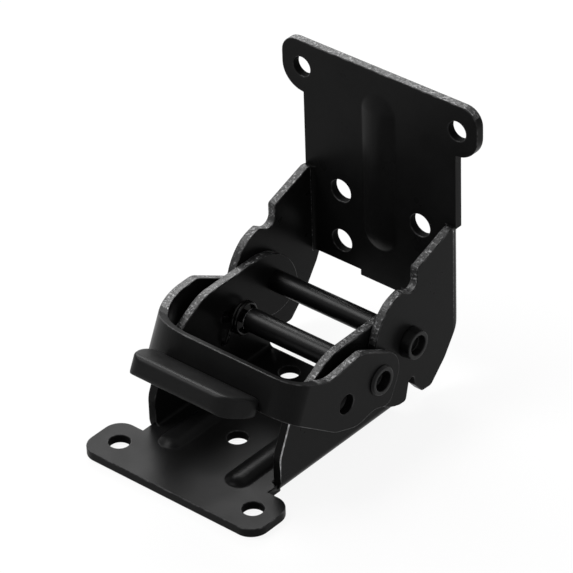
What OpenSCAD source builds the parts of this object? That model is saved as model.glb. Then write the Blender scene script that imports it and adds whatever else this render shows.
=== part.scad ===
// Folding leg bracket, self locking, folded up from steel sheet.
// Shown open: the leg plate stands square to the base plate.
// X runs across the bracket, Y from its front to its back, Z up from the mounting face.
// The origin lies on the mounting face, midway between the two front screw holes.

/* [Sheet and fits] */
// Thickness of the steel sheet
sheet_t = 2.2; // [1.8:0.1:2.6]
// Inner radius of the bends in both brackets
bend_r = 1; // [0.6:0.1:1.6]
// Side gap between two sheet walls that slide past each other
wall_gap = 0.2; // [0.1:0.05:0.3]
// Radial clearance of each shaft in its hole
fit_gap = 0.05; // [0.02:0.01:0.08]

/* [Base bracket] */
// Width over the side walls of the base bracket
base_w = 39.2; // [37:0.2:42]
// Height of the main pivot over the mounting face
axis_h = 19; // [18.6:0.1:20]
// Distance from the front screw holes back to the main pivot
pivot_back = 52; // [50:0.5:54]
// Distance between the two front screw holes
base_hole_gap = 39.6; // [37:0.2:41]
// Diameter of the screw holes
screw_d = 5; // [4:0.1:5.4]
// Distance of the front edge from the front screw holes
base_front = 7; // [6.5:0.1:9]
// Depth of the front strip with the two ears
base_ear_depth = 13.5; // [12:0.1:14.5]
// Width over the two ears
base_ear_w = 52; // [49:0.2:56]
// Corner radius of the ears
base_ear_r = 4.4; // [2:0.1:5]
// Distance of the plate's back edge in front of the main pivot
base_back = 2.7; // [2.2:0.1:3.4]
// Distance from the main pivot forward to the middle screw hole
base_mid_hole = 34.4; // [33:0.2:36]
// Distance from the main pivot forward to the two back holes
base_back_hole = 8; // [7.4:0.1:9]
// Distance between the two back holes
base_back_hole_gap = 14.4; // [13:0.2:16]
// Radius of the side walls under and behind the main pivot
base_boss_r = 9; // [8:0.1:9.2]
// Height of the side walls over the main pivot
base_wall_h = 8.9; // [8.4:0.1:9.4]
// Radius of the side walls' upper back corner
base_corner_r = 13.4; // [10:0.2:13.4]

/* [Leg bracket] */
// Height of the leg plate's top edge over the main pivot
leg_top = 54.1; // [52.5:0.1:60]
// Height of the top screw holes over the main pivot
leg_hole_h = 47.4; // [46:0.1:48]
// Distance between the two top screw holes
leg_hole_gap = 44.8; // [43:0.2:46]
// Width over the two ears
leg_ear_w = 56.4; // [54:0.2:58]
// Height of the ears
leg_ear_h = 13.3; // [12.6:0.1:15]
// Diameter of the four holes in the middle of the leg plate
leg_mid_hole_d = 5.8; // [5:0.1:6.2]
// Distance between those holes across the plate
leg_mid_hole_gap = 23.2; // [22:0.2:24]
// Height of the upper pair over the main pivot
leg_mid_hole_h1 = 18.2; // [17.6:0.1:19]
// Height of the lower pair over the main pivot
leg_mid_hole_h2 = 4.5; // [3.6:0.1:5.4]
// Radius of the curved locking edge about the main pivot
lock_edge_r = 14.6; // [14.2:0.1:14.9]
// Radius of the foot below the lock bar
foot_r = 15.9; // [15.4:0.1:16.1]
// Width of the tongue at the plate's bottom edge
tongue_w = 12.4; // [9:0.2:16]

/* [Ribs] */
// Height of the stamped ribs
rib_h = 1.2; // [0.8:0.1:1.5]
// Width of the two ribs in the base plate
base_rib_w = 7; // [6:0.2:7.6]
// Distance between the middles of those two ribs
base_rib_gap = 21; // [20:0.2:21.6]
// Width of the rib in the leg plate
leg_rib_w = 10.2; // [8:0.2:11]

/* [Pins and sleeves] */
// Diameter of the main pivot pin
pivot_d = 4; // [3.6:0.1:4.2]
// Diameter of the sleeve on the main pivot pin
pivot_sleeve_d = 5.2; // [5:0.1:5.6]
// Diameter of the lock bar's pin
lock_pin_d = 3.2; // [2.8:0.1:3.4]
// Diameter of the sleeve on the lock bar
lock_sleeve_d = 5.6; // [5:0.1:6]
// Diameter of each end collar at its foot
collar_foot_d = 7.6; // [7.2:0.1:8.2]
// Diameter of each end collar at its outer face
collar_face_d = 6.8; // [6.4:0.1:7]
// Diameter of the hollow in each end collar
collar_hollow_d = 5; // [4.6:0.1:5.2]
// Length of the pivot collars
pivot_collar_l = 2.5; // [2.2:0.1:3]
// How far the lock collars stand out of the latch arms
lock_collar_out = 0.8; // [0.6:0.1:1.2]

/* [Latch] */
// Distance of the lock bar in front of the main pivot
lock_front = 13.1; // [12.8:0.1:13.4]
// Distance of the lock bar below the main pivot
lock_down = 2.2; // [1.9:0.1:2.5]
// Slope of the lock bar's slot, up towards the front
slot_slope = 20; // [18:1:22]
// Travel of the lock bar along its slot
slot_travel = 4.6; // [4.4:0.1:4.8]
// Slope of the latch arms, up towards the front
latch_slope = 25; // [23:1:26]
// Reach of the latch's front wall from the lock bar
latch_reach = 32.3; // [31:0.1:34]
// Height of the latch's front wall
latch_front_h = 8.6; // [7.6:0.1:9.4]
// Outer radius of the latch's left front bend
latch_bend_left_r = 17; // [14:0.5:18]
// Outer radius of the latch's right front bend
latch_bend_right_r = 6; // [4:0.2:8]
// Diameter of the open hole in each latch arm
latch_hole_d = 4.8; // [4:0.1:5.2]

/* [Grip] */
// Width of the grip at its back
grip_back_w = 32.3; // [30:0.1:34]
// Width of the grip at its front
grip_front_w = 27; // [25:0.1:29]
// Depth of the grip in front of the latch wall
grip_depth = 10; // [9:0.1:11]
// Distance of the grip's middle to the right of the latch's middle
grip_shift = 0.65; // [0:0.05:1]
// Thickness of the grip
grip_t = 4.9; // [4.4:0.1:5.4]
// Rounding of the grip's long edges
grip_round = 1.3; // [0.8:0.1:1.6]
// Width of the steel tab inside the grip
tab_w = 20; // [16:0.2:22]

/* [Spring] */
// Wire of the latch spring
wire_d = 0.9; // [0.7:0.05:1]
// Mean diameter of the spring's coil
coil_d = 8.8; // [8.4:0.1:9.2]
// Number of turns in the coil
coil_turns = 3; // [2:1:3]

/* [Hidden] */
$fn = 64;
eps = 0.01;
steel = [0.12, 0.12, 0.125];

// Half widths of the stack of walls, from the inside out
base_out = base_w / 2;
base_in = base_out - sheet_t;
leg_in = base_out + wall_gap;
leg_out = leg_in + sheet_t;
latch_in = leg_out + wall_gap;
latch_out = latch_in + sheet_t;
bend_out_r = bend_r + sheet_t;

// The floor and the plates, measured from the main pivot
floor_z = -axis_h;
floor_top_z = floor_z + sheet_t;
leg_back_y = axis_h;
leg_front_y = leg_back_y - sheet_t;
base_hole_y = -pivot_back;
base_front_y = base_hole_y - base_front;
ear_back_y = base_front_y + base_ear_depth;
wall_front_y = ear_back_y + 3.2;

// The lock bar
lock_at = [-lock_front, -lock_down];
slot_dir = [-cos(slot_slope), sin(slot_slope)];
slot_w = lock_pin_d + 2 * fit_gap;
lock_clear = lock_pin_d / 2 + 0.15;
leg_turn = 90;

// The latch arms, measured along and square to the arm from the lock bar
arm_end_r = 6.4;
front_top_v = 0.8;
tab_v = front_top_v - latch_front_h - 0.5;
tab_l = grip_depth - 1.8;
latch_hole_at = [10.8, -4.9];
bush_d = collar_hollow_d + 0.9;

// The spring sits between the left base wall and the lock sleeve
coil_pitch = wire_d + 0.3;
coil_x = -base_in + 0.25 + wire_d / 2;
sleeve_left = coil_x + coil_pitch * coil_turns + wire_d / 2 + 0.3;
anchor_at = lock_at + [-6, -4.9];
anchor_d = wire_d + 0.5;

// Points along an arc
function arc(c, r, a0, a1, n) =
    [for (i = [0:n]) c + r * [cos(a0 + (a1 - a0) * i / n), sin(a0 + (a1 - a0) * i / n)]];

// A unit vector
function unit(v) = v / norm(v);

// One rounded corner p, between the points a and b
function corner(a, p, b, r) =
    let(u = unit(a - p), v = unit(b - p), half = acos(max(-1, min(1, u * v))) / 2,
        room = 0.48 * min(norm(a - p), norm(b - p)), d = min(r / tan(half), room), q = d * tan(half),
        c = p + unit(u + v) * q / sin(half), s = p + u * d - c, e = p + v * d - c,
        side = s.x * e.y - s.y * e.x > 0 ? 1 : -1, turn = side * (180 - 2 * half),
        n = max(2, ceil(abs(turn) / (q > 5 ? 5 : 12))), a0 = atan2(s.y, s.x))
    [for (i = [0:n]) c + q * [cos(a0 + turn * i / n), sin(a0 + turn * i / n)]];

// An outline from corners written as [x, y, corner radius]
function outline(c) =
    let(n = len(c))
    [for (i = [0:n - 1])
        let(a = c[(i + n - 1) % n], p = c[i], b = c[(i + 1) % n],
            pts = p[2] > 0 ? corner([a.x, a.y], [p.x, p.y], [b.x, b.y], p[2]) : [[p.x, p.y]])
        for (q = pts) q];

// Outline points as sharp corners
function sharp(pts) = [for (p = pts) [p.x, p.y, 0]];

// Where the lock bar's middle lies once the leg has turned by a, seen from the main pivot
function lock_pos(a) = lock_at + slot_dir * slot_travel * a / leg_turn;

// The same place as the leg bracket sees it, moved towards the pivot by the bar's room
function lock_track(a) =
    let(p = lock_pos(a), r = min(lock_edge_r, norm(p) - lock_clear), turn = atan2(p.y, -p.x) + a)
    [-r * cos(turn), r * sin(turn)];

// Moves children from the main pivot to their place in the part
module at_pivot() translate([0, pivot_back, axis_h]) children();

// Turns a side view, drawn as back and up, into a solid across the part
module across(x0, x1) translate([x0, 0, 0]) rotate([90, 0, 90]) linear_extrude(x1 - x0) children();

// A rectangle with rounded corners
module round_rect(x0, y0, x1, y1, r) {
    translate([x0 + r, y0]) square([x1 - x0 - 2 * r, y1 - y0]);
    translate([x0, y0 + r]) square([x1 - x0, y1 - y0 - 2 * r]);
    for (x = [x0 + r, x1 - r], y = [y0 + r, y1 - r]) translate([x, y]) circle(r);
}

// Section of a channel that opens upwards: outer half width w, height h, outer bend radius r
module channel_section(w, h, r, t) {
    difference() {
        channel_solid(w, h, r, 0);
        translate([0, t]) channel_solid(w - t, h, max(r - t, 0.1), eps);
    }
}

module channel_solid(w, h, r, more) {
    translate([-w, r]) square([2 * w, h - r + more]);
    translate([-w + r, 0]) square([2 * (w - r), r + eps]);
    for (x = [-w + r, w - r]) translate([x, r]) circle(r);
}

// A stamped bead along Y on a plate whose top is at z = 0: the crest, or the groove beneath it
module bead(w, h, y0, y1, t) {
    crest_r = (w * w / 4 + h * h) / (2 * h);
    r = crest_r - t;
    end = w / 2;
    intersection() {
        translate([0, 0, h - crest_r]) {
            translate([0, y0 + end, 0]) rotate([-90, 0, 0]) cylinder(h = y1 - y0 - w, r = r);
            for (y = [y0 + end, y1 - end]) translate([0, y, 0]) sphere(r);
        }
        translate([-w, y0 - w, t > 0 ? -t - 1 : -0.3]) cube([2 * w, y1 - y0 + 2 * w, h + 2 + t]);
    }
}

// Side view of the base bracket's walls
module base_side() intersection() {
    union() {
        translate([wall_front_y - 1, floor_z]) square([-base_back - wall_front_y + 1, axis_h + base_wall_h + 1]);
        circle(base_boss_r);
    }
    polygon(outline([
        [base_boss_r - 1.4, -axis_h - 1, 0], [base_boss_r - 1.4, base_wall_h, base_corner_r],
        [-24.5, base_wall_h - 0.4, 12], [wall_front_y + 4.6, 0.9, 8], [wall_front_y, floor_z + 9.4, 7],
        [wall_front_y, -axis_h - 1, 0]]));
}

module base_ribs(t) {
    front = ear_back_y - 0.8;
    back = -base_back_hole - base_rib_w;
    for (s = [-1, 1]) translate([s * base_rib_gap / 2, 0, floor_top_z])
        bead(base_rib_w, rib_h, front, back, t);
}

// Lower bracket: a plate with two ears in front and two side walls bent up
module base_bracket() color(steel) at_pivot() difference() {
    union() {
        intersection() {
            rotate([90, 0, 0]) translate([0, floor_z, -base_boss_r - 1])
                linear_extrude(pivot_back + base_boss_r) channel_section(base_out, axis_h + base_wall_h + 1, bend_out_r, sheet_t);
            across(-base_out - 1, base_out + 1) base_side();
        }
        translate([0, 0, floor_z]) linear_extrude(sheet_t) {
            round_rect(-base_ear_w / 2, base_front_y, base_ear_w / 2, ear_back_y, base_ear_r);
            translate([-base_out + bend_r, ear_back_y - 1]) square([2 * (base_out - bend_r), wall_front_y - ear_back_y + 2]);
        }
        base_ribs(0);
    }
    base_ribs(sheet_t);
    // Screw holes
    for (p = [[-base_hole_gap / 2, base_hole_y], [base_hole_gap / 2, base_hole_y], [0, -base_mid_hole],
              [-base_back_hole_gap / 2, -base_back_hole], [base_back_hole_gap / 2, -base_back_hole]])
        translate([p.x, p.y, floor_z - 1]) cylinder(h = sheet_t + 2, d = screw_d);
    // Holes for the main pivot
    rotate([0, 90, 0]) cylinder(h = base_w + 2, d = pivot_d + 2 * fit_gap, center = true);
    // Slots for the lock bar
    across(-base_out - 1, base_out + 1) {
        for (s = [0, slot_travel]) translate(lock_at + slot_dir * s) circle(d = slot_w);
        translate(lock_at) rotate(180 - slot_slope) translate([0, -slot_w / 2]) square([slot_travel, slot_w]);
    }
    // Hole for the spring's anchored end
    translate([-base_out - 1, anchor_at.x, anchor_at.y]) rotate([0, 90, 0]) cylinder(h = sheet_t + 2, d = anchor_d);
}

// Side view of the leg bracket's walls
module leg_side() {
    seat_r = 2.2;
    seat = [1, 12.9 + seat_r];
    stop_y = seat.x + seat_r;
    polygon(outline(concat(
        [[leg_back_y, 21.4, 0], [15.2, 22.2, 2], [stop_y, 17.9, 0.8]],
        sharp(arc(seat, seat_r, 0, -128, 10)),
        sharp([for (a = [84:-6:0]) lock_track(a)]),
        sharp(arc(lock_at, lock_clear, 0, -110, 6)),
        [[lock_at.x - 1.9, lock_at.y - 3.3, 1]],
        sharp(arc([0, 0], foot_r, 201, 256, 8)),
        [[-1.5, -foot_r + 0.3, 1], [-0.3, -10.6, 0.6], [1.5, -10.1, 0.8], [1.7, -13, 0.5],
         [4.3, -16.1, 1], [7.6, -16.3, 1.6], [12.6, -11.4, 8], [17.4, -4.4, 5], [leg_back_y, -0.6, 2]])));
}

// Upper bracket: a plate with two ears at the top and two side walls bent forward
module leg_bracket() color(steel) at_pivot() difference() {
    union() {
        intersection() {
            translate([0, leg_back_y, -axis_h]) rotate([0, 0, 180]) mirror([0, 0, 0])
                linear_extrude(60) channel_section(leg_out, leg_back_y + foot_r + 1, bend_out_r, sheet_t);
            across(-leg_out - 1, leg_out + 1) leg_side();
        }
        translate([0, leg_back_y, 0]) rotate([90, 0, 0]) linear_extrude(sheet_t) leg_plan();
        leg_rib(0);
    }
    // Cuts the plate off below its bottom edge
    translate([0, leg_back_y + 1, 0]) rotate([90, 0, 0]) linear_extrude(sheet_t + bend_out_r + 1) difference() {
        translate([-leg_in, -axis_h - 1]) square([2 * leg_in, axis_h]);
        leg_plan();
    }
    leg_rib(sheet_t);
    for (x = [-leg_hole_gap / 2, leg_hole_gap / 2])
        translate([x, leg_front_y - 1, leg_hole_h]) rotate([-90, 0, 0]) cylinder(h = sheet_t + 2, d = screw_d);
    for (x = [-leg_mid_hole_gap / 2, leg_mid_hole_gap / 2], z = [leg_mid_hole_h1, leg_mid_hole_h2])
        translate([x, leg_front_y - 1, z]) rotate([-90, 0, 0]) cylinder(h = sheet_t + 2, d = leg_mid_hole_d);
    rotate([0, 90, 0]) cylinder(h = 2 * leg_out + 2, d = pivot_d + 2 * fit_gap, center = true);
}

// Front view of the leg plate
module leg_plan() {
    bottom = -1.3;
    side = leg_in + eps;
    low = leg_top - leg_ear_h;
    polygon(outline([[-leg_ear_w / 2, low, 6.2], [leg_ear_w / 2, low, 6.2], [leg_ear_w / 2, leg_top, 4.2],
                     [-leg_ear_w / 2, leg_top, 4.2]]));
    translate([-leg_out, 21.4]) square([2 * leg_out, leg_top - 21.4 - 5]);
    translate([-side, bottom]) square([2 * side, 30]);
    translate([-tongue_w / 2, bottom - 1.5]) square([tongue_w, 3]);
}

module leg_rib(t) {
    translate([0, leg_front_y, 0]) rotate([90, 0, 0]) bead(leg_rib_w, rib_h, 6.5, leg_top - 5.5, t);
}

// Places children on the latch: x across, y along the arms from the lock bar, z square to them
module on_latch() {
    at_pivot() translate([0, lock_at.x, lock_at.y]) rotate([-latch_slope, 0, 0]) mirror([0, 1, 0]) children();
}

// Side view of a latch arm, whose top edge steps down to the front wall between the corners a and b
module latch_side(a, b) {
    front_low_v = front_top_v - latch_front_h;
    polygon(outline([
        [-arm_end_r, arm_end_r, arm_end_r - 0.1], a, b,
        [latch_reach, front_top_v, 0], [latch_reach, front_low_v, 0],
        [12, -11.6, 8], [4.5, -10.8, 6], [-1, -7, 4], [-arm_end_r, -6.6, 6]]));
}

// The latch seen square to its arms, drawn m inside its outer face
module latch_plan(m) {
    w = latch_out - m;
    front = latch_reach - m;
    back = -arm_end_r - 1 - m;
    left_r = latch_bend_left_r - m;
    right_r = latch_bend_right_r - m;
    translate([-w + left_r, back]) square([2 * w - left_r - right_r, front - back]);
    translate([-w + left_r, front - left_r]) circle(left_r, $fn = 128);
    translate([-w, back]) square([left_r + eps, front - left_r - back]);
    translate([w - right_r, front - right_r]) circle(right_r);
    translate([w - right_r - eps, back]) square([right_r + eps, front - right_r - back]);
}

// Latch: one strip bent round the front, with an arm outside each leg wall
module latch_yoke() color(steel) on_latch() {
    difference() {
        intersection() {
            translate([0, 0, -15]) linear_extrude(30) difference() {
                latch_plan(0);
                latch_plan(sheet_t);
            }
            union() {
                across(-latch_out - 1, 0) latch_side([12.2, 7.6, 4], [25.6, 1, 3]);
                across(-eps, latch_out + 1) latch_side([9.7, 7.1, 4], [19.4, 1.1, 8]);
            }
        }
        rotate([0, 90, 0]) cylinder(h = 2 * latch_out + 2, d = bush_d + 2 * fit_gap, center = true);
        translate([0, latch_hole_at.x, latch_hole_at.y]) rotate([0, 90, 0])
            cylinder(h = 2 * latch_out + 2, d = latch_hole_d, center = true);
    }
    translate([grip_shift, 0, tab_v]) linear_extrude(sheet_t)
        round_rect(-tab_w / 2, latch_reach - sheet_t, tab_w / 2, latch_reach + tab_l, 1);
}

// Plastic grip, pushed over the latch's front tab
module grip_sleeve() color([0.2, 0.2, 0.2]) on_latch() translate([grip_shift, 0, 0]) {
    back = latch_reach + 0.05;
    front = latch_reach + grip_depth;
    low = tab_v + (sheet_t - grip_t) / 2;
    difference() {
        intersection() {
            translate([0, 0, low]) linear_extrude(grip_t) polygon(outline([
                [-grip_back_w / 2 + 2, back, 2], [grip_back_w / 2, back, 1],
                [grip_back_w / 2, back + 2.6, 2], [grip_front_w / 2, front, 4.5],
                [-grip_front_w / 2, front, 3.5], [-grip_back_w / 2, back + 3.2, 3]]));
            across(-grip_back_w, grip_back_w) round_rect(back, low, front, low + grip_t, grip_round);
            translate([0, back - 1, 0]) rotate([90, 0, 0]) mirror([0, 0, 1]) linear_extrude(grip_depth + 2)
                round_rect(-grip_back_w / 2, low, grip_back_w / 2, low + grip_t, grip_round);
        }
        translate([0, 0, tab_v - fit_gap]) linear_extrude(sheet_t + 2 * fit_gap)
            translate([-tab_w / 2 - fit_gap, latch_reach - 1]) square([tab_w + 2 * fit_gap, tab_l + 1 + fit_gap]);
    }
}

// Solid pin along X
module cross_pin(half, d) rotate([0, 90, 0]) cylinder(h = 2 * half, d = d, center = true);

// Tube along X
module tube(x0, x1, d, bore) translate([x0, 0, 0]) rotate([0, 90, 0]) difference() {
    cylinder(h = x1 - x0, d = d);
    translate([0, 0, -1]) cylinder(h = x1 - x0 + 2, d = bore);
}

// Hollow end collar, turned: foot at x0, face at x1, hollow down to the pin's end
module collar(x0, x1, bore, floor_t, neck) rotate([0, 90, 0]) rotate_extrude() polygon([
    [bore / 2 + fit_gap, x0], [neck / 2, x0], [neck / 2, x1 - floor_t], [collar_foot_d / 2, x1 - floor_t],
    [collar_face_d / 2, x1], [collar_hollow_d / 2, x1], [collar_hollow_d / 2 - 0.4, x0 + 0.7],
    [bore / 2 + fit_gap, x0 + 0.7]]);

module pivot_pin() color(steel) at_pivot() cross_pin(leg_out + 0.8, pivot_d);

module pivot_sleeve() color(steel) at_pivot() tube(-base_in + 0.1, base_in - 0.1, pivot_sleeve_d, pivot_d + 2 * fit_gap);

module pivot_collar() collar(leg_out + 0.1, leg_out + 0.1 + pivot_collar_l, pivot_d, pivot_collar_l, collar_foot_d);

module pivot_collar_right() color(steel) at_pivot() pivot_collar();

module pivot_collar_left() color(steel) at_pivot() mirror([1, 0, 0]) pivot_collar();

// Places children on the lock bar
module at_lock() at_pivot() translate([0, lock_at.x, lock_at.y]) children();

module lock_pin() color(steel) at_lock() cross_pin(latch_in + 0.8, lock_pin_d);

module lock_sleeve() color(steel) at_lock() tube(sleeve_left, base_in - 0.1, lock_sleeve_d, lock_pin_d + 2 * fit_gap);

module lock_collar() collar(latch_in + 0.05, latch_out + lock_collar_out, lock_pin_d, lock_collar_out - 0.05, bush_d);

module lock_collar_right() color(steel) at_lock() lock_collar();

module lock_collar_left() color(steel) at_lock() mirror([1, 0, 0]) lock_collar();

// Middle line of the spring: the anchored end, the coil and the end under the pivot sleeve
coil_r = coil_d / 2;
function coil_point(a) = [coil_x + coil_pitch * a / 360, coil_r * cos(a), coil_r * sin(a)];
coil_start = 200;
coil_end = coil_start + 360 * coil_turns + 70;
function spring_path() =
    let(anchor = anchor_at - lock_at, first = coil_point(coil_start), last = coil_point(coil_end),
        x0 = coil_x + coil_pitch * coil_start / 360)
    concat([[-base_out + 0.3, anchor.x, anchor.y], [-base_in - 0.2, anchor.x, anchor.y],
            [-base_in + 0.5, anchor.x + 0.3, anchor.y + 0.3]],
           [for (a = [coil_start:15:coil_end]) coil_point(a)],
           [last + [0.2, 2, -0.8]]);

// A round wire swept along points
module wire(path, d) {
    n = len(path);
    sides = 8;
    function dir(i) = unit(path[min(i + 1, n - 1)] - path[max(i - 1, 0)]);
    rings = [for (i = [0:n - 1])
        let(t = dir(i), u = unit(cross(t, abs(t.x) > 0.8 ? [0, 0, 1] : [1, 0, 0])), v = cross(t, u))
        for (k = [0:sides - 1]) path[i] + d / 2 * (u * cos(360 * k / sides) + v * sin(360 * k / sides))];
    polyhedron(rings, concat(
        [[for (k = [sides - 1:-1:0]) k]],
        [for (i = [0:n - 2], k = [0:sides - 1])
            [i * sides + k, i * sides + (k + 1) % sides, (i + 1) * sides + (k + 1) % sides, (i + 1) * sides + k]],
        [[for (k = [0:sides - 1]) (n - 1) * sides + k]]));
}

module latch_spring() color([0.45, 0.45, 0.45]) at_lock() wire(spring_path(), wire_d);

base_bracket();
leg_bracket();
latch_yoke();
grip_sleeve();
pivot_pin();
pivot_sleeve();
pivot_collar_left();
pivot_collar_right();
lock_pin();
lock_sleeve();
lock_collar_left();
lock_collar_right();
latch_spring();
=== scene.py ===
"""Dresses the folding bracket: satin black sheet steel, glossier pins, a moulded grip and a coiled wire.

The sheet parts are copies of the solids with their edges broken as a press leaves them, and with the sheared
edges in a finish of their own. Lengths are metres unless a name says millimetres.
"""

import logging
import math
from dataclasses import dataclass, field
from enum import Enum, IntEnum
from typing import Any, Callable

import bmesh
import bpy
from mathutils import Matrix, Vector


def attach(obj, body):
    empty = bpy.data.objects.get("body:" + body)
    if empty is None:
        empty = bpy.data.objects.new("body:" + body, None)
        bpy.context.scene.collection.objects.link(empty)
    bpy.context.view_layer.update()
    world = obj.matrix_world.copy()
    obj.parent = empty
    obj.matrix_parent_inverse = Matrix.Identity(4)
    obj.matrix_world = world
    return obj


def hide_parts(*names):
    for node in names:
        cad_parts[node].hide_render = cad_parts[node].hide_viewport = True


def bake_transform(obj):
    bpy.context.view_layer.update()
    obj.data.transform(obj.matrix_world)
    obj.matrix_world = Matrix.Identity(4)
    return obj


MM = 0.001
BORE_TILT = 0.3  # a face of a bore's wall has less of its normal along the bore than this
log = logging.getLogger("folding_bracket")


class Slot(Enum):
    """The record's material slots, named for the pieces; nothing in the script reads them."""

    SHEET = "coated_sheet"
    GRIP = "grip_plastic"
    TURNED = "dark_turned_steel"
    WIRE = "spring_wire"


class Body(Enum):
    """The rigid bodies that the pieces ride on."""

    BASE = "base"
    LEG = "leg"
    LOCK_BAR = "lock_bar"
    LATCH = "latch"


class SheetFinish(IntEnum):
    """The places of a sheet's finishes in its list of materials."""

    COAT = 0
    SHEARED = 1
    # Rounded corners, coloured with a painted highlight.
    RUBBED = 2
    # Bore walls, coloured with painted shade.
    BORE = 3
    # One corner coloured with a near-white painted highlight.
    WORN = 4


# Materials


class NodeSheet:
    """A material's node tree with short ways to add what the finishes share."""

    def __init__(self, name: str) -> None:
        """Start a material with one Principled shader.

        Args:
            name: The material's name.
        """
        self.material = bpy.data.materials.new(name)
        self.material.use_nodes = True
        self.tree = self.material.node_tree
        self.shader = self.tree.nodes["Principled BSDF"]
        self.place = self.tree.nodes.new("ShaderNodeTexCoord").outputs["Object"]

    def add(self, kind: str, **settings: Any) -> bpy.types.Node:
        """Add a node and set its properties.

        Args:
            kind: The node's Blender type.
            **settings: Property names and values.

        Returns:
            The new node.
        """
        node = self.tree.nodes.new(kind)
        for key, value in settings.items():
            setattr(node, key, value)
        return node

    def link(self, source: bpy.types.NodeSocket, target: bpy.types.NodeSocket) -> None:
        """Join an output to an input."""
        self.tree.links.new(source, target)

    def noise(self, grain: float, detail: float = 2.0, roughness: float = 0.5) -> bpy.types.NodeSocket:
        """Add a noise over the piece.

        Args:
            grain: The size of one patch in metres.
            detail: How many finer layers are added.
            roughness: How strong the finer layers are.

        Returns:
            The noise's height from 0 to 1.
        """
        node = self.add("ShaderNodeTexNoise")
        self.link(self.place, node.inputs["Vector"])
        node.inputs["Scale"].default_value = 1.0 / grain
        node.inputs["Detail"].default_value = detail
        node.inputs["Roughness"].default_value = roughness
        return node.outputs["Fac"]

    def spread(self, source: bpy.types.NodeSocket, low: float, high: float, start: float = 0.3,
               end: float = 0.7) -> bpy.types.NodeSocket:
        """Turn a 0 to 1 value into another range.

        Args:
            source: The value.
            low: The result at start.
            high: The result at end.
            start: The value that gives low.
            end: The value that gives high.

        Returns:
            The value in its new range.
        """
        node = self.add("ShaderNodeMapRange")
        self.link(source, node.inputs["Value"])
        node.inputs["From Min"].default_value = start
        node.inputs["From Max"].default_value = end
        node.inputs["To Min"].default_value = low
        node.inputs["To Max"].default_value = high
        return node.outputs["Result"]

    def times(self, first: bpy.types.NodeSocket, second: bpy.types.NodeSocket) -> bpy.types.NodeSocket:
        """Multiply two values.

        Args:
            first: The first value.
            second: The second value.

        Returns:
            Their product.
        """
        node = self.add("ShaderNodeMath", operation="MULTIPLY")
        self.link(first, node.inputs[0])
        self.link(second, node.inputs[1])
        return node.outputs["Value"]

    def tint(self, factor: bpy.types.NodeSocket, dark: tuple[float, ...], light: tuple[float, ...]) -> None:
        """Colour the surface between two colours.

        Args:
            factor: 0 gives dark and 1 gives light.
            dark: The first colour.
            light: The second colour.
        """
        node = self.add("ShaderNodeMix", data_type="RGBA")
        self.link(factor, node.inputs["Factor"])
        node.inputs["A"].default_value = (*dark, 1.0)
        node.inputs["B"].default_value = (*light, 1.0)
        self.link(node.outputs["Result"], self.shader.inputs["Base Color"])

    def roughen(self, factor: bpy.types.NodeSocket, roughness: tuple[float, float]) -> None:
        """Vary the roughness between two values by a noise."""
        self.link(self.spread(factor, *roughness), self.shader.inputs["Roughness"])

    def bump(self, height: bpy.types.NodeSocket, depth: float, strength: float = 1.0,
             under: bpy.types.NodeSocket | None = None) -> bpy.types.NodeSocket:
        """Raise the surface by a height.

        Args:
            height: The height from 0 to 1.
            depth: The depth in metres of a full height.
            strength: How much of it shows.
            under: A bump that this one lies on.

        Returns:
            The bumped normal.
        """
        node = self.add("ShaderNodeBump")
        self.link(height, node.inputs["Height"])
        node.inputs["Distance"].default_value = depth
        node.inputs["Strength"].default_value = strength
        if under is not None:
            self.link(under, node.inputs["Normal"])
        return node.outputs["Normal"]

    def finish(self, normal: bpy.types.NodeSocket | None = None, **values: float) -> bpy.types.Material:
        """Set the shader's plain values.

        Args:
            normal: The bumped normal.
            **values: Input names, with underscores for spaces, and values.

        Returns:
            The finished material.
        """
        for key, value in values.items():
            self.shader.inputs[key.replace("_", " ")].default_value = value
        if normal is not None:
            self.link(normal, self.shader.inputs["Normal"])
        return self.material


@dataclass(frozen=True)
class PowderCoat:
    """Satin black powder coat with a slight orange peel."""

    name: str = "powder_coat"
    dark: tuple[float, float, float] = (0.005, 0.005, 0.0051)
    light: tuple[float, float, float] = (0.008, 0.008, 0.0081)
    roughness: tuple[float, float] = (0.27, 0.35)
    specular: float = 0.042
    patch: float = 7.0 * MM
    peel: float = 1.1 * MM
    peel_depth: float = 0.012 * MM
    peel_strength: float = 0.5
    grain: float = 0.22 * MM
    grain_depth: float = 0.006 * MM
    grain_strength: float = 0.45

    def make(self) -> bpy.types.Material:
        """Mix the coat.

        Returns:
            The coat's material.
        """
        nodes = NodeSheet(self.name)
        patches = nodes.noise(self.patch, detail=4.0)
        nodes.tint(patches, self.dark, self.light)
        nodes.roughen(patches, self.roughness)
        peel = nodes.bump(nodes.noise(self.peel, detail=1.0), self.peel_depth, self.peel_strength)
        grain = nodes.bump(nodes.noise(self.grain, detail=1.0), self.grain_depth, self.grain_strength,
                           under=peel)
        return nodes.finish(grain, Specular_IOR_Level=self.specular)


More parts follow.
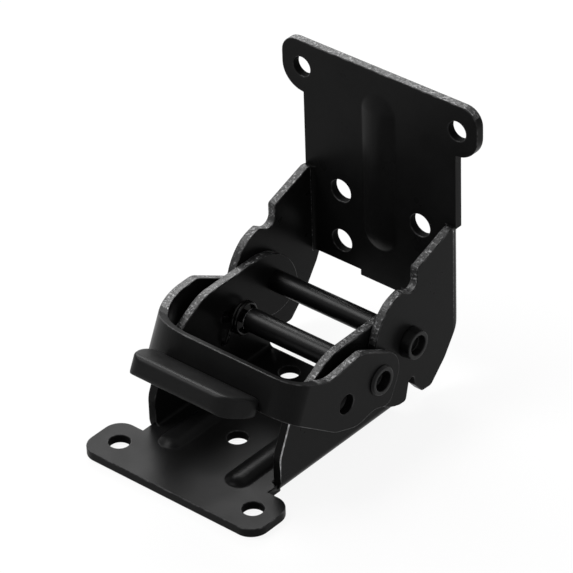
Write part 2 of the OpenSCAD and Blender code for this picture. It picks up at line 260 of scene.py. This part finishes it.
@dataclass(frozen=True)
class ShearedEdge:
    """The rough, paler band that shearing leaves round the sheet, seen through a thin coat."""

    name: str = "sheared_edge"
    dark: tuple[float, float, float] = (0.02, 0.02, 0.0203)
    light: tuple[float, float, float] = (0.45, 0.45, 0.455)
    roughness: tuple[float, float] = (0.28, 0.5)
    specular: float = 0.25
    fleck: float = 0.7 * MM
    fleck_range: tuple[float, float] = (0.5, 0.68)
    fleck_depth: float = 0.14 * MM
    fleck_strength: float = 0.9
    tear: float = 2.0 * MM
    tear_range: tuple[float, float] = (0.42, 0.6)
    tear_depth: float = 0.3 * MM
    tear_strength: float = 0.8
    least: float = 0.07

    def make(self) -> bpy.types.Material:
        """Mix the edge's finish.

        Returns:
            The edge's material.
        """
        nodes = NodeSheet(self.name)
        flecks = nodes.noise(self.fleck, detail=3.0, roughness=0.7)
        tears = nodes.noise(self.tear, detail=3.0, roughness=0.65)
        shine = nodes.spread(flecks, 0.0, 1.0, *self.fleck_range)
        patches = nodes.spread(tears, self.least, 1.0, *self.tear_range)
        nodes.tint(nodes.times(shine, patches), self.dark, self.light)
        nodes.roughen(tears, self.roughness)
        torn = nodes.bump(tears, self.tear_depth, self.tear_strength)
        speckled = nodes.bump(flecks, self.fleck_depth, self.fleck_strength, under=torn)
        return nodes.finish(speckled, Specular_IOR_Level=self.specular)


@dataclass(frozen=True)
class PaintedCornerHighlight:
    """The thin line along each corner of the sheet: a painted highlight, lighter in patches, where the
    rounded corner catches the light.
    """

    name: str = "painted_corner_highlight"
    dark: tuple[float, float, float] = (0.006, 0.006, 0.0061)
    light: tuple[float, float, float] = (0.06, 0.06, 0.0612)
    roughness: tuple[float, float] = (0.25, 0.45)
    specular: float = 0.11
    # The painted highlight is lighter in patches of this size, over this part of the noise.
    sheen_grain: float = 2.2 * MM
    sheen_range: tuple[float, float] = (0.46, 0.68)
    fleck: float = 0.4 * MM
    fleck_depth: float = 0.03 * MM
    fleck_strength: float = 0.5

    def make(self) -> bpy.types.Material:
        """Mix the corner's painted highlight.

        Returns:
            The corner's material.
        """
        nodes = NodeSheet(self.name)
        sheen_patches = nodes.noise(self.sheen_grain, detail=3.0, roughness=0.6)
        flecks = nodes.noise(self.fleck, detail=2.0, roughness=0.6)
        # Painted highlight: the corner is coloured lighter where the patches rise.
        nodes.tint(nodes.spread(sheen_patches, 0.0, 1.0, *self.sheen_range), self.dark, self.light)
        nodes.roughen(flecks, self.roughness)
        dents = nodes.bump(flecks, self.fleck_depth, self.fleck_strength)
        return nodes.finish(dents, Specular_IOR_Level=self.specular)


@dataclass(frozen=True)
class BoreShade:
    """The thin, dull coat inside the holes, with painted shade: its colour is darker than the outer coat."""

    name: str = "bore_shade"
    dark: tuple[float, float, float] = (0.002, 0.002, 0.0021)
    light: tuple[float, float, float] = (0.005, 0.005, 0.0051)
    roughness: float = 0.7
    specular: float = 0.02
    patch: float = 0.8 * MM
    patch_depth: float = 0.02 * MM
    patch_strength: float = 0.5

    def make(self) -> bpy.types.Material:
        """Mix the bore's dull finish and painted shade.

        Returns:
            The bore's material.
        """
        nodes = NodeSheet(self.name)
        patches = nodes.noise(self.patch, detail=3.0)
        # Painted shade: the bore walls are coloured darker than the coat.
        nodes.tint(patches, self.dark, self.light)
        dents = nodes.bump(patches, self.patch_depth, self.patch_strength)
        return nodes.finish(dents, Roughness=self.roughness, Specular_IOR_Level=self.specular)


@dataclass(frozen=True)
class FineSurface:
    """A surface with soft patches and a fine relief, as on turned steel, drawn wire and moulded plastic."""

    name: str = "turned_steel"
    dark: tuple[float, float, float] = (0.003, 0.003, 0.0031)
    light: tuple[float, float, float] = (0.005, 0.005, 0.0051)
    roughness: tuple[float, float] = (0.3, 0.36)
    specular: float = 0.12
    patch: float = 3.0 * MM
    relief: float = 0.9 * MM
    relief_detail: float = 2.0
    relief_depth: float = 0.004 * MM
    relief_strength: float = 0.15

    def make(self) -> bpy.types.Material:
        """Mix the surface's finish.

        Returns:
            The surface's material.
        """
        nodes = NodeSheet(self.name)
        patches = nodes.noise(self.patch, detail=3.0)
        nodes.tint(patches, self.dark, self.light)
        nodes.roughen(patches, self.roughness)
        relief = nodes.noise(self.relief, detail=self.relief_detail)
        marks = nodes.bump(relief, self.relief_depth, self.relief_strength)
        return nodes.finish(marks, Specular_IOR_Level=self.specular)


TURNED_STEEL = FineSurface()
# A pale painted highlight, for the lock sleeve's rims.
RIM_HIGHLIGHT_PAINT = FineSurface("painted_rim_highlight", dark=(0.3, 0.3, 0.305), light=(0.6, 0.6, 0.605), specular=0.6)
DRAWN_WIRE = FineSurface("drawn_wire", dark=(0.002, 0.002, 0.0021), light=(0.004, 0.004, 0.0041),
                         roughness=(0.22, 0.34), patch=1.2 * MM, relief=1.2 * MM, relief_detail=3.0,
                         relief_depth=0.01 * MM, relief_strength=0.4)
GRIP_PLASTIC = FineSurface("grip_moulding", dark=(0.005, 0.005, 0.0051), light=(0.008, 0.008, 0.0081),
                           roughness=(0.36, 0.45), specular=0.08, patch=5.0 * MM, relief=0.16 * MM,
                           relief_detail=1.0, relief_depth=0.008 * MM, relief_strength=0.5)
# A near-white painted highlight, for the outer front corner of the base bracket's right wall.
PAINTED_FRONT_HIGHLIGHT = PaintedCornerHighlight("painted_front_highlight", dark=(0.3, 0.3, 0.303), light=(0.9, 0.9, 0.91), specular=0.5)


# Meshes


def put_in_scene(name: str, bm: bmesh.types.BMesh, smooth_angle: float = 30.0) -> bpy.types.Object:
    """Turn a bmesh into an object at the origin.

    Args:
        name: The piece's name.
        bm: The mesh, which is freed.
        smooth_angle: Edges sharper than this many degrees stay sharp.

    Returns:
        The new object.
    """
    mesh = bpy.data.meshes.new(name)
    bm.to_mesh(mesh)
    bm.free()
    mesh.shade_smooth()
    mesh.set_sharp_from_angle(angle=math.radians(smooth_angle))
    piece = bpy.data.objects.new(name, mesh)
    bpy.context.scene.collection.objects.link(piece)
    return piece


def merged_copy(node: bpy.types.Object, flat_angle: float = 0.6,
                nearest: float = 0.002 * MM) -> bmesh.types.BMesh:
    """Copy a solid's mesh with its loose triangles joined and its flat faces made whole.

    Args:
        node: The solid.
        flat_angle: Faces that meet under this many degrees become one.
        nearest: Points nearer than this become one.

    Returns:
        The joined mesh.
    """
    bm = bmesh.new()
    bm.from_mesh(node.data)
    bmesh.ops.remove_doubles(bm, verts=bm.verts, dist=nearest)
    bmesh.ops.dissolve_limit(bm, angle_limit=math.radians(flat_angle), verts=bm.verts, edges=bm.edges,
                             use_dissolve_boundaries=False, delimit=set())
    return bm


def mark_roomy_edges(bm: bmesh.types.BMesh, angle: float, shortest: float, turn: float, kept: set[int],
                     with_creases: bool) -> None:
    """Mark the corners that have room for a rounding.

    Args:
        bm: The mesh, whose edges get a bevel weight of 1 or 0.
        angle: Edges sharper than this many degrees count as corners.
        shortest: Corners shorter than this end at a tight spot where they turn sharply.
        turn: The turn in degrees that makes a spot tight.
        kept: The faces, by index, whose edges stay as they are.
        with_creases: Whether inner corners are rounded as well.
    """
    bm.faces.index_update()
    weight = bm.edges.layers.float.new("bevel_weight_edge")
    corners = {e for e in bm.edges
               if len(e.link_faces) == 2 and e.calc_face_angle(0.0) > math.radians(angle)
               and (with_creases or e.is_convex)
               and not any(face.index in kept for face in e.link_faces)}
    tight = set()
    for vert in bm.verts:
        meeting = [e for e in vert.link_edges if e in corners]
        if not meeting or min(e.calc_length() for e in meeting) >= shortest:
            continue
        if len(meeting) != 2:
            tight.add(vert)
            continue
        ways = [e.other_vert(vert).co - vert.co for e in meeting]
        if math.pi - ways[0].angle(ways[1], 0.0) > math.radians(turn):
            tight.add(vert)
    for edge in corners:
        if tight.isdisjoint(edge.verts):
            edge[weight] = 1.0


def break_edges(piece: bpy.types.Object, width: float, angle: float | None, material: int,
                segments: int = 2) -> None:
    """Round a piece's sharp edges a little.

    Args:
        piece: The piece.
        width: The rounding's width in metres.
        angle: Edges sharper than this many degrees are rounded, or None for those with a bevel weight.
        material: The slot that finishes the rounding.
        segments: The faces across each rounding.
    """
    bevel = piece.modifiers.new("broken_edges", "BEVEL")
    bevel.width = width
    bevel.segments = segments
    bevel.material = material
    if angle is None:
        bevel.limit_method = "WEIGHT"
    else:
        bevel.limit_method = "ANGLE"
        bevel.angle_limit = math.radians(angle)
    bevel.harden_normals = True
    bevel.loop_slide = False
    bevel.use_clamp_overlap = False


def hand_over(piece: bpy.types.Object, body: Body, slot: Slot, *nodes: str) -> None:
    """Make a piece ride on its body in place of its solids.

    Args:
        piece: The finished piece.
        body: The body that it moves with.
        slot: Not used.
        *nodes: The solids that it stands for.
    """
    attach(piece, body.value)
    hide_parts(*nodes)
    log.info("%s rides on %s", piece.name, body.value)


# Sub-assemblies


@dataclass(frozen=True)
class Bore:
    """A hole through a sheet, in millimetres, with its axis as 0, 1 or 2."""

    middle: tuple[float, float, float]
    axis: int
    radius: float
    # Whether the bore's edges are rounded and take the painted highlight.
    has_highlight_rim: bool = True

    def holds(self, middle: Vector, normal: Vector) -> bool:
        """Tell whether a face is part of the bore's wall.

        Args:
            middle: The face's middle.
            normal: The face's normal.

        Returns:
            Whether it lies in the bore.
        """
        away = middle - Vector(self.middle)
        away[self.axis] = 0.0
        return away.length < self.radius and abs(normal[self.axis]) < BORE_TILT


@dataclass
class SheetPart:
    """One bent sheet: its solid's copy with broken edges, and with its sheared edges and bores set apart.

    is_cut says of a face's middle, in millimetres, and its normal whether the press sheared that face.
    reshape changes the copy before that, and the faces that it marks with a painted highlight stay so.
    """

    node: str
    body: Body
    is_cut: Callable[[Vector, Vector], bool]
    bores: tuple[Bore, ...] = ()
    reshape: Callable[[bmesh.types.BMesh], None] | None = None
    edge_round: float = 0.22 * MM
    corner_angle: float = 30.0
    nearest: float = 0.05 * MM
    shortest: float = 0.5 * MM
    sharp_turn: float = 20.0
    with_creases: bool = False

    def build(self, solid: bpy.types.Object, materials: list[bpy.types.Material]) -> bpy.types.Object:
        """Copy the solid, mark its sheared faces and break its edges.

        Args:
            solid: The solid that the sheet stands for.
            materials: The sheet's materials in the order of SheetFinish.

        Returns:
            The finished sheet.
        """
        bm = merged_copy(solid, nearest=self.nearest)
        if self.reshape is not None:
            self.reshape(bm)
        kept = set()
        bm.faces.index_update()
        for face in bm.faces:
            # Faces with the near-white painted highlight keep their edges.
            if face.material_index == SheetFinish.WORN:
                kept.add(face.index)
                continue
            middle = face.calc_center_median() / MM
            bore = next((bore for bore in self.bores if bore.holds(middle, face.normal)), None)
            if bore is not None:
                face.material_index = SheetFinish.BORE
                # Bores without the painted highlight keep sharp edges.
                if not bore.has_highlight_rim:
                    kept.add(face.index)
            elif self.is_cut(middle, face.normal):
                face.material_index = SheetFinish.SHEARED
        mark_roomy_edges(bm, self.corner_angle, self.shortest, self.sharp_turn, kept, self.with_creases)
        piece = put_in_scene(f"{self.node}_sheet", bm, self.corner_angle)
        for material in materials:
            piece.data.materials.append(material)
        # The rounded corners take the painted highlight.
        break_edges(piece, self.edge_round, None, SheetFinish.RUBBED)
        shading = piece.modifiers.new("flat_faces", "WEIGHTED_NORMAL")
        shading.keep_sharp = True
        hand_over(piece, self.body, Slot.SHEET, self.node)
        return piece


@dataclass
class Brackets:
    """The base bracket, the leg bracket and the latch, all folded from one kind of sheet.

    The places are in millimetres, and the rib and highlight sizes in metres.
    """

    base_outer_x: float = 19.0
    base_front_y: float = 21.0
    base_wall_z: float = 4.0
    leg_wall_inner_x: float = 15.0
    leg_plate_y: float = 68.0
    leg_top_z: float = 71.0
    seat_z: float = 27.5
    latch_front_y: float = 18.0
    base_facing: float = 0.5
    facing: float = 0.25
    latch_sideways: float = 0.3
    # The last two base bores keep sharp edges, without the painted highlight.
    base_bores: tuple[Bore, ...] = (
        Bore((-19.8, 0.0, 0.0), 2, 2.7), Bore((19.8, 0.0, 0.0), 2, 2.7), Bore((0.0, 17.6, 0.0), 2, 2.7),
        Bore((-7.2, 44.0, 0.0), 2, 2.7), Bore((7.2, 44.0, 0.0), 2, 2.7), Bore((0.0, 52.0, 19.0), 0, 2.7),
        Bore((0.0, 37.0, 17.5), 0, 5.0, has_highlight_rim=False), Bore((0.0, 32.9, 11.9), 0, 1.0, has_highlight_rim=False))
    leg_bores: tuple[Bore, ...] = (
        Bore((-22.4, 0.0, 66.4), 1, 2.7), Bore((22.4, 0.0, 66.4), 1, 2.7), Bore((-11.6, 0.0, 23.5), 1, 3.1),
        Bore((11.6, 0.0, 23.5), 1, 3.1), Bore((-11.6, 0.0, 37.2), 1, 3.1), Bore((11.6, 0.0, 37.2), 1, 3.1),
        Bore((0.0, 52.0, 19.0), 0, 4.0))
    latch_bores: tuple[Bore, ...] = (Bore((0.0, 38.9, 16.8), 0, 3.3), Bore((0.0, 27.04, 16.92), 0, 2.6))
    rib_x: float = 10.5
    rib_half: float = 3.7
    rib_end_y: tuple[float, float] = (5.5, 9.3)
    rib_reach_left: float = 1.5 * MM
    rib_reach_right: float = 3.0 * MM
    # The rounding that carries the near-white painted highlight, and the faces it follows.
    highlight_round: float = 0.24 * MM
    highlight_segments: int = 4
    highlight_outward: float = 0.9
    highlight_forward: float = 0.5
    parting_snap: float = 0.001 * MM

    def base_cut(self, middle: Vector, normal: Vector) -> bool:
        """Tell the base bracket's sheared faces, the tops of its walls."""
        return normal.z > self.base_facing and middle.z > self.base_wall_z

    def leg_cut(self, middle: Vector, normal: Vector) -> bool:
        """Tell the leg bracket's sheared faces, the plate's top and the walls' upper edges.

        Args:
            middle: The face's middle in millimetres.
            normal: The face's normal.

        Returns:
            Whether the press sheared it.
        """
        wall_edge = middle.y < self.leg_plate_y and abs(middle.x) > self.leg_wall_inner_x
        if wall_edge and middle.z > self.seat_z:
            return normal.z > -self.facing
        return normal.z > self.facing and (wall_edge or middle.z > self.leg_top_z)

    def latch_cut(self, middle: Vector, normal: Vector) -> bool:
        """Tell the latch's sheared faces, the tops of its arms."""
        is_upward = normal.z > self.facing and abs(normal.x) < self.latch_sideways
        return is_upward and middle.y > self.latch_front_y

    def move_rib_ends(self, bm: bmesh.types.BMesh) -> None:
        """Bring the front ends of the base bracket's ribs forward.

        Args:
            bm: The base bracket's mesh.
        """
        for side, reach in ((-1, self.rib_reach_left), (1, self.rib_reach_right)):
            verts = [v for v in bm.verts
                     if abs(v.co.x / MM * side - self.rib_x) < self.rib_half
                     and self.rib_end_y[0] < v.co.y / MM < self.rib_end_y[1]
                     and v.co.z / MM < self.base_wall_z]
            bmesh.ops.translate(bm, verts=verts, vec=(0.0, -reach, 0.0))

    def paint_front_highlight(self, bm: bmesh.types.BMesh) -> None:
        """Round the outer front corner of the base bracket's right wall and colour it with a near-white
        painted highlight, where the corner catches the light.

        Args:
            bm: The base bracket's mesh.
        """
        corner = []
        for edge in bm.edges:
            if len(edge.link_faces) != 2 or min(v.co.z for v in edge.verts) < self.base_wall_z * MM:
                continue
            if (min(v.co.x for v in edge.verts) < self.base_outer_x * MM
                    or max(v.co.y for v in edge.verts) > self.base_front_y * MM):
                continue
            normals = [face.normal for face in edge.link_faces]
            is_outward = max(n.x for n in normals) > self.highlight_outward
            if is_outward and min(n.y for n in normals) < -self.highlight_forward:
                corner.append(edge)
        highlight_bevel = bmesh.ops.bevel(bm, geom=corner, offset=self.highlight_round, offset_type="OFFSET",
                               segments=self.highlight_segments, profile=0.5, affect="EDGES", material=-1,
                               clamp_overlap=False)
        # These rounded faces take the near-white painted highlight.
        for face in highlight_bevel["faces"]:
            face.material_index = SheetFinish.WORN

    def shape_base(self, bm: bmesh.types.BMesh) -> None:
        """Move the base bracket's ribs and round one corner with a painted highlight."""
        self.move_rib_ends(bm)
        self.paint_front_highlight(bm)

    def part_latch(self, bm: bmesh.types.BMesh) -> None:
        """Part the latch's faces where its front bends end."""
        bmesh.ops.bisect_plane(bm, geom=[*bm.verts, *bm.edges, *bm.faces], dist=self.parting_snap,
                               plane_co=(0.0, self.latch_front_y * MM, 0.0), plane_no=(0.0, 1.0, 0.0))

    def build(self, solids: dict[str, bpy.types.Object]) -> list[bpy.types.Object]:
        """Dress the three sheets.

        Args:
            solids: The frame's solids by name.

        Returns:
            The finished sheets.
        """
        # The corner finishes are painted highlights and the bore finish is painted shade.
        finishes = {SheetFinish.COAT: PowderCoat(), SheetFinish.SHEARED: ShearedEdge(),
                    SheetFinish.RUBBED: PaintedCornerHighlight(), SheetFinish.BORE: BoreShade(),
                    SheetFinish.WORN: PAINTED_FRONT_HIGHLIGHT}
        materials = [finishes[place].make() for place in SheetFinish]
        sheets = [
            SheetPart("base_bracket", Body.BASE, self.base_cut, self.base_bores, self.shape_base),
            SheetPart("leg_bracket", Body.LEG, self.leg_cut, self.leg_bores),
            SheetPart("latch_yoke", Body.LATCH, self.latch_cut, self.latch_bores, self.part_latch,
                      with_creases=True),
        ]
        return [sheet.build(solids[sheet.node], materials) for sheet in sheets]


@dataclass
class Grip:
    """The moulded grip: its solid's copy, meshed afresh and smoothed to soft edges."""

    node: str = "grip_sleeve"
    mesh_step: float = 0.3 * MM
    smoothing: int = 10
    smoothing_share: float = 0.5
    smooth_angle: float = 180.0

    def build(self, solids: dict[str, bpy.types.Object]) -> bpy.types.Object:
        """Dress the grip.

        Args:
            solids: The frame's solids by name.

        Returns:
            The finished grip.
        """
        piece = put_in_scene("grip_moulding", merged_copy(solids[self.node]), self.smooth_angle)
        piece.data.materials.append(GRIP_PLASTIC.make())
        mesher = piece.modifiers.new("fresh_mesh", "REMESH")
        mesher.mode = "VOXEL"
        mesher.voxel_size = self.mesh_step
        mesher.use_smooth_shade = True
        softener = piece.modifiers.new("soft_edges", "SMOOTH")
        softener.factor = self.smoothing_share
        softener.iterations = self.smoothing
        hand_over(piece, Body.LATCH, Slot.GRIP, self.node)
        return piece


@dataclass
class TurnedParts:
    """The pins, the sleeves on them and their hollow end collars.

    The lock sleeve reaches further left than its solid, up to the spring, and its rims carry a pale painted
    highlight.
    """

    bodies: dict[str, Body] = field(default_factory=lambda: {
        "pivot_pin": Body.BASE,
        "pivot_sleeve": Body.BASE,
        "pivot_collar_left": Body.BASE,
        "pivot_collar_right": Body.BASE,
        "lock_pin": Body.LOCK_BAR,
        "lock_sleeve": Body.LOCK_BAR,
        "lock_collar_left": Body.LOCK_BAR,
        "lock_collar_right": Body.LOCK_BAR,
    })
    edge_round: float = 0.2 * MM
    corner_angle: float = 35.0
    sleeve_end_x: float = -11.0 * MM
    sleeve_reach: float = 1.6 * MM

    def build(self, solids: dict[str, bpy.types.Object]) -> list[bpy.types.Object]:
        """Dress the turned parts.

        Args:
            solids: The frame's solids by name.

        Returns:
            The finished parts.
        """
        # The sleeve's rounded rims take the pale painted highlight.
        steel, bright_rim = TURNED_STEEL.make(), RIM_HIGHLIGHT_PAINT.make()
        pieces = []
        for node, body in self.bodies.items():
            bm = merged_copy(solids[node])
            is_sleeve = node == "lock_sleeve"
            if is_sleeve:
                ends = [v for v in bm.verts if v.co.x < self.sleeve_end_x]
                bmesh.ops.translate(bm, verts=ends, vec=(-self.sleeve_reach, 0.0, 0.0))
            piece = put_in_scene(f"{node}_turned", bm, self.corner_angle)
            for material in (steel, bright_rim) if is_sleeve else (steel,):
                piece.data.materials.append(material)
            break_edges(piece, self.edge_round, self.corner_angle, material=int(is_sleeve))
            hand_over(piece, body, Slot.TURNED, node)
            pieces.append(piece)
        return pieces


@dataclass
class Spring:
    """The wire wound on the left end of the lock bar, anchored in the base's wall.

    The sizes are in millimetres. still_point and moving_point, both in metres, are not used.
    """

    node: str = "latch_spring"
    wire: float = 0.8
    wire_resolution: int = 3
    middle: tuple[float, float] = (38.1, 17.2)
    radius: float = 3.75
    first_x: float = -16.25
    pitch: float = 0.92
    first_turn: int = 200
    last_turn: int = 990
    turn_step: int = 10
    anchor: tuple[tuple[float, float, float], ...] = (
        (-17.6, 32.9, 11.9), (-16.9, 32.9, 11.9), (-16.4, 33.1, 12.4), (-16.25, 33.7, 14.0))
    tail: tuple[tuple[float, float, float], ...] = ((-14.1, 39.5, 13.3), (-14.0, 41.6, 12.7))
    still_point: tuple[float, float, float] = (-0.0165, 0.03322, 0.01222)
    moving_point: tuple[float, float, float] = (-0.0165, 0.03515, 0.01415)

    def coil(self) -> list[tuple[float, float, float]]:
        """Wind the coil's middle line.

        Returns:
            Its points.
        """
        points = []
        for turn in range(self.first_turn, self.last_turn + 1, self.turn_step):
            angle = math.radians(turn)
            points.append((self.first_x + self.pitch * (turn - self.first_turn) / 360,
                           self.middle[0] + self.radius * math.cos(angle),
                           self.middle[1] + self.radius * math.sin(angle)))
        return points

    def build(self) -> bpy.types.Object:
        """Bend the wire.

        Returns:
            The finished spring.
        """
        line = bpy.data.curves.new("latch_spring_wire", "CURVE")
        line.dimensions = "3D"
        line.bevel_depth = self.wire / 2 * MM
        line.bevel_resolution = self.wire_resolution
        line.use_fill_caps = True
        points = [*self.anchor, *self.coil(), *self.tail]
        spline = line.splines.new("POLY")
        spline.points.add(len(points) - 1)
        for point, place in zip(spline.points, points):
            point.co = (*(value * MM for value in place), 1.0)
        spline.use_smooth = True
        draft = bpy.data.objects.new("spring_draft", line)
        bpy.context.scene.collection.objects.link(draft)
        bpy.context.view_layer.update()
        mesh = bpy.data.meshes.new_from_object(draft.evaluated_get(bpy.context.evaluated_depsgraph_get()))
        bpy.data.objects.remove(draft)
        mesh.name = "latch_spring_wire"
        mesh.shade_smooth()
        mesh.materials.clear()
        mesh.materials.append(DRAWN_WIRE.make())
        piece = bpy.data.objects.new("latch_spring_wire", mesh)
        bpy.context.scene.collection.objects.link(piece)
        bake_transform(piece)
        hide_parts(self.node)
        log.info("%s bends from base to lock_bar", piece.name)
        return piece


# Studio


@dataclass(frozen=True)
class PhotoCamera:
    """The camera at the photograph's place, found from the bracket's edges and holes in the picture."""

    pivot: tuple[float, float, float] = (0.0, 0.052, 0.019)
    pivot_px: tuple[float, float] = (334.27, 307.0)
    azimuth: float = 41.542
    elevation: float = 34.428
    roll: float = -1.959
    distance: float = 0.9175
    focal_px: float = 4038.3
    picture_px: float = 573.0
    sensor_mm: float = 36.0
    clip_end: float = 20.0

    def build(self) -> bpy.types.Object:
        """Place the camera so that the pivot's middle falls on its spot in the picture.

        Returns:
            The camera.
        """
        azimuth, elevation, roll = (math.radians(a) for a in (self.azimuth, self.elevation, self.roll))
        forward = Vector((-math.sin(azimuth) * math.cos(elevation), math.cos(azimuth) * math.cos(elevation),
                          -math.sin(elevation)))
        level = Vector((math.cos(azimuth), math.sin(azimuth), 0.0))
        upright = level.cross(forward)
        right = math.cos(roll) * level + math.sin(roll) * upright
        up = -math.sin(roll) * level + math.cos(roll) * upright
        across = (self.pivot_px[0] - self.picture_px / 2) / self.focal_px
        down = (self.pivot_px[1] - self.picture_px / 2) / self.focal_px
        place = Vector(self.pivot) - (forward + across * right - down * up) * self.distance
        lens = bpy.data.cameras.new("photo_camera")
        lens.sensor_width = self.sensor_mm
        lens.lens = self.focal_px / self.picture_px * self.sensor_mm
        lens.clip_end = self.clip_end
        camera = bpy.data.objects.new("photo_camera", lens)
        bpy.context.scene.collection.objects.link(camera)
        axes = Matrix((right, up, -forward)).transposed().to_4x4()
        camera.matrix_world = Matrix.Translation(place) @ axes
        bpy.context.scene.camera = camera
        return camera


@dataclass(frozen=True)
class Softbox:
    """One rectangular lamp that faces the bracket."""

    name: str
    azimuth: float
    elevation: float
    distance: float
    width: float
    height: float
    power: float

    def build(self, target: Vector) -> bpy.types.Object:
        """Place the lamp round a target.

        Args:
            target: The point that it faces.

        Returns:
            The lamp.
        """
        azimuth, elevation = math.radians(self.azimuth), math.radians(self.elevation)
        away = Vector((math.sin(azimuth) * math.cos(elevation), -math.cos(azimuth) * math.cos(elevation),
                       math.sin(elevation)))
        lamp = bpy.data.lights.new(self.name, "AREA")
        lamp.shape = "RECTANGLE"
        lamp.size = self.width
        lamp.size_y = self.height
        lamp.energy = self.power
        softbox = bpy.data.objects.new(self.name, lamp)
        softbox.matrix_world = (Matrix.Translation(target + away * self.distance)
                                @ away.to_track_quat("Z", "Y").to_matrix().to_4x4())
        bpy.context.scene.collection.objects.link(softbox)
        return softbox


@dataclass
class Studio:
    """A white table under soft light, with a white room round it."""

    target: tuple[float, float, float] = (0.0, 0.03, 0.03)
    floor_half: float = 1.5
    floor_drop: float = 0.2 * MM
    floor_colour: tuple[float, float, float, float] = (0.9, 0.9, 0.9, 1.0)
    floor_glow: float = 0.9
    room_light: float = 0.35
    white: float = 1.0
    softboxes: tuple[Softbox, ...] = (
        Softbox("key_softbox", azimuth=-68.0, elevation=60.0,
                distance=0.8, width=0.4, height=0.3, power=4.5),
        Softbox("back_softbox", azimuth=230.0, elevation=35.0,
                distance=0.9, width=0.42, height=0.4, power=5.0),
        Softbox("side_softbox", azimuth=100.0, elevation=25.0,
                distance=0.9, width=0.5, height=0.5, power=0.5),
    )

    def seen_directly(self, tree: bpy.types.NodeTree) -> bpy.types.NodeSocket:
        """Give 1 for rays that show the surroundings to the eye, straight or in a reflection.

        Args:
            tree: The material's or world's node tree.

        Returns:
            The 0 or 1 value.
        """
        path = tree.nodes.new("ShaderNodeLightPath")
        seen = path.outputs["Is Camera Ray"]
        for ray in ("Is Glossy Ray", "Is Transmission Ray"):
            either = tree.nodes.new("ShaderNodeMath")
            either.operation = "MAXIMUM"
            tree.links.new(seen, either.inputs[0])
            tree.links.new(path.outputs[ray], either.inputs[1])
            seen = either.outputs["Value"]
        return seen

    def build_floor(self) -> bpy.types.Object:
        """Lay the floor, which glows white to the eye but keeps the bracket's shadow.

        Returns:
            The floor.
        """
        bm = bmesh.new()
        bmesh.ops.create_grid(bm, x_segments=1, y_segments=1, size=self.floor_half,
                              matrix=Matrix.Translation((0.0, 0.0, -self.floor_drop)))
        floor = put_in_scene("floor", bm)
        material = bpy.data.materials.new("white_table")
        material.use_nodes = True
        tree = material.node_tree
        tree.nodes.clear()
        paint = tree.nodes.new("ShaderNodeBsdfDiffuse")
        paint.inputs["Color"].default_value = self.floor_colour
        glow = tree.nodes.new("ShaderNodeEmission")
        glow.inputs["Strength"].default_value = self.white
        blend = tree.nodes.new("ShaderNodeMixShader")
        share = tree.nodes.new("ShaderNodeMath")
        share.operation = "MULTIPLY"
        share.inputs[1].default_value = self.floor_glow
        output = tree.nodes.new("ShaderNodeOutputMaterial")
        tree.links.new(self.seen_directly(tree), share.inputs[0])
        tree.links.new(share.outputs["Value"], blend.inputs["Fac"])
        tree.links.new(paint.outputs["BSDF"], blend.inputs[1])
        tree.links.new(glow.outputs["Emission"], blend.inputs[2])
        tree.links.new(blend.outputs["Shader"], output.inputs["Surface"])
        floor.data.materials.append(material)
        return floor

    def build_room(self) -> None:
        """Light the room evenly, and show it white to the eye."""
        world = bpy.data.worlds.new("white_room")
        world.use_nodes = True
        tree = world.node_tree
        background = tree.nodes["Background"]
        background.inputs["Color"].default_value = (1.0, 1.0, 1.0, 1.0)
        strength = tree.nodes.new("ShaderNodeMapRange")
        strength.inputs["To Min"].default_value = self.room_light
        strength.inputs["To Max"].default_value = self.white
        tree.links.new(self.seen_directly(tree), strength.inputs["Value"])
        tree.links.new(strength.outputs["Result"], background.inputs["Strength"])
        bpy.context.scene.world = world

    def build(self) -> None:
        """Set up the floor, the room and the lamps."""
        self.build_floor()
        self.build_room()
        for softbox in self.softboxes:
            softbox.build(Vector(self.target))
        bpy.context.scene.view_settings.view_transform = "Standard"
        log.info("studio with %d softboxes", len(self.softboxes))


def main(frame: dict[str, Any]) -> None:
    """Dress the bracket and set up the studio.
    """
    logging.basicConfig(level=logging.INFO, format="%(message)s")
    solids = frame["nodes"]
    PhotoCamera().build()
    Brackets().build(solids)
    Grip().build(solids)
    TurnedParts().build(solids)
    Spring().build()
    Studio().build()


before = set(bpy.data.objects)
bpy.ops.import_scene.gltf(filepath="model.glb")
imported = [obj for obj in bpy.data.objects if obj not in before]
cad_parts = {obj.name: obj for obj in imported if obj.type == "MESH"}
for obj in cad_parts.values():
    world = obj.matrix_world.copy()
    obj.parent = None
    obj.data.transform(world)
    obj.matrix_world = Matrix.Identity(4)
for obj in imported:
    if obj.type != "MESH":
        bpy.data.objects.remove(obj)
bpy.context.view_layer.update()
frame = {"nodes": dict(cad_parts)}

if __name__ == "__main__":
    main(frame)
